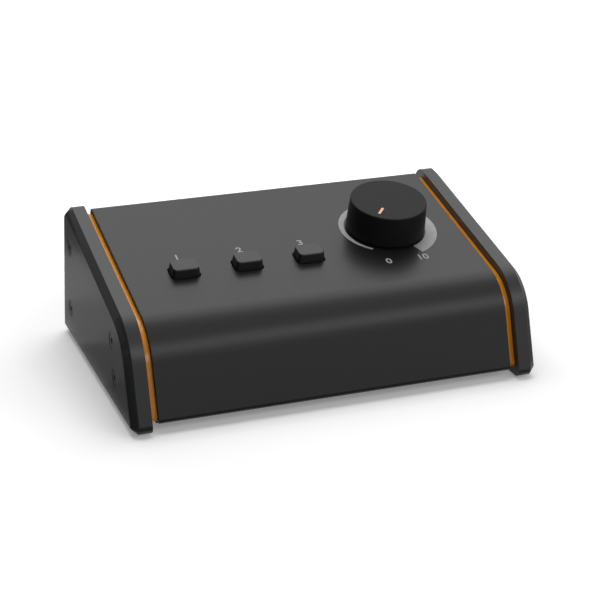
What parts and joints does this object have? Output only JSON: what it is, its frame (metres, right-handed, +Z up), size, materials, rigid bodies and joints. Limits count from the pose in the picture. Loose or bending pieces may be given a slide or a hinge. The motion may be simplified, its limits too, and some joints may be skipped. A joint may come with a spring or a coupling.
{
  "type": "studio monitor controller",
  "caption": "Wedge-shaped desktop monitor controller with thick side cheeks, a large volume knob, push buttons on a sloping panel and audio sockets at the back.",
  "frame": {"origin": "on the table under the middle of the object's box", "axes": "+X to the right as the user sees it, +Y to the back with the sockets, +Z up"},
  "size_m": [0.18, 0.1254, 0.0713],
  "materials": {
    "cheek": "black anodised, bead blasted",
    "cover": "fine matt black powder coat",
    "base": "matt black powder coat",
    "trim": "polished amber acrylic",
    "bracket": "zinc-plated steel",
    "screw": "black oxide steel",
    "foot": "black rubber",
    "knob": "soft-touch coated ABS",
    "knob_inner": "moulded nylon",
    "indicator": "orange filled line",
    "shaft": "turned aluminium",
    "bushing": "plain brass",
    "wiper": "natural nylon rotor",
    "pot_case": "moulded phenolic",
    "contact": "tinned copper alloy",
    "button": "moulded ABS",
    "plunger": "natural acetal",
    "spring": "spring steel wire",
    "switch": "moulded PBT",
    "board": "green solder mask on glass laminate",
    "ribbon": "grey PVC flat cable",
    "header": "black moulded connector",
    "socket": "glass-filled nylon, black"
  },
  "bodies": {
    "chassis": {"left_cheek": "cheek", "right_cheek": "cheek", "top_cover": "cover", "rear_panel": "cover", "left_side_plate": "cover", "right_side_plate": "cover", "base_pan": "base", "left_trim_plate": "trim", "right_trim_plate": "trim", "side_plate_nuts": "bracket", "panel_nuts": "bracket", "board_standoffs": "bracket", "board_screws": "bracket", "pot_washer": "bracket", "pot_nut": "bracket", "mini_jack_nut": "bracket", "cheek_screws": "screw", "base_screws": "screw", "rear_screws": "screw", "socket_screws": "screw", "foot_front_left": "foot", "foot_front_right": "foot", "foot_rear_left": "foot", "foot_rear_right": "foot", "pot_bushing": "bushing", "pot_housing": "pot_case", "pot_terminals": "contact", "switch_pins": "contact", "input_pins": "contact", "output_pins": "contact", "switch_spring_1": "spring", "switch_spring_2": "spring", "switch_spring_3": "spring", "switch_body_1": "switch", "switch_body_2": "switch", "switch_body_3": "switch", "switch_board": "board", "volume_board": "board", "rear_board": "board", "switch_ribbon": "ribbon", "volume_ribbon": "ribbon", "ribbon_headers": "header", "input_socket_1": "socket", "input_socket_2": "socket", "input_insert_1": "socket", "input_insert_2": "socket", "output_socket_1": "socket", "output_socket_2": "socket", "mini_jack": "socket"},
    "volume": {"knob_shell": "knob", "knob_core": "knob_inner", "knob_indicator": "indicator", "pot_shaft": "shaft", "pot_wipers": "wiper"},
    "button_1": {"button_cap_1": "button", "switch_plunger_1": "plunger"},
    "button_2": {"button_cap_2": "button", "switch_plunger_2": "plunger"},
    "button_3": {"button_cap_3": "button", "switch_plunger_3": "plunger"}
  },
  "joints": [
    {"name": "volume_turn", "type": "hinge", "parent": "chassis", "child": "volume", "pos_m": [0.0452, 0.00219, 0.05302], "axis": [0, 0.2346, -0.9721], "range_deg": [0, 300]},
    {"name": "button_1_press", "type": "slide", "parent": "chassis", "child": "button_1", "axis": [0, 0.2346, -0.9721], "range_m": [0, 0.0025], "stiffness_N_per_m": 400, "springref_m": -0.004, "deforming": ["switch_spring_1"]},
    {"name": "button_2_press", "type": "slide", "parent": "chassis", "child": "button_2", "axis": [0, 0.2346, -0.9721], "range_m": [0, 0.0025], "stiffness_N_per_m": 400, "springref_m": -0.004, "deforming": ["switch_spring_2"]},
    {"name": "button_3_press", "type": "slide", "parent": "chassis", "child": "button_3", "axis": [0, 0.2346, -0.9721], "range_m": [0, 0.0025], "stiffness_N_per_m": 400, "springref_m": -0.004, "deforming": ["switch_spring_3"]}
  ]
}
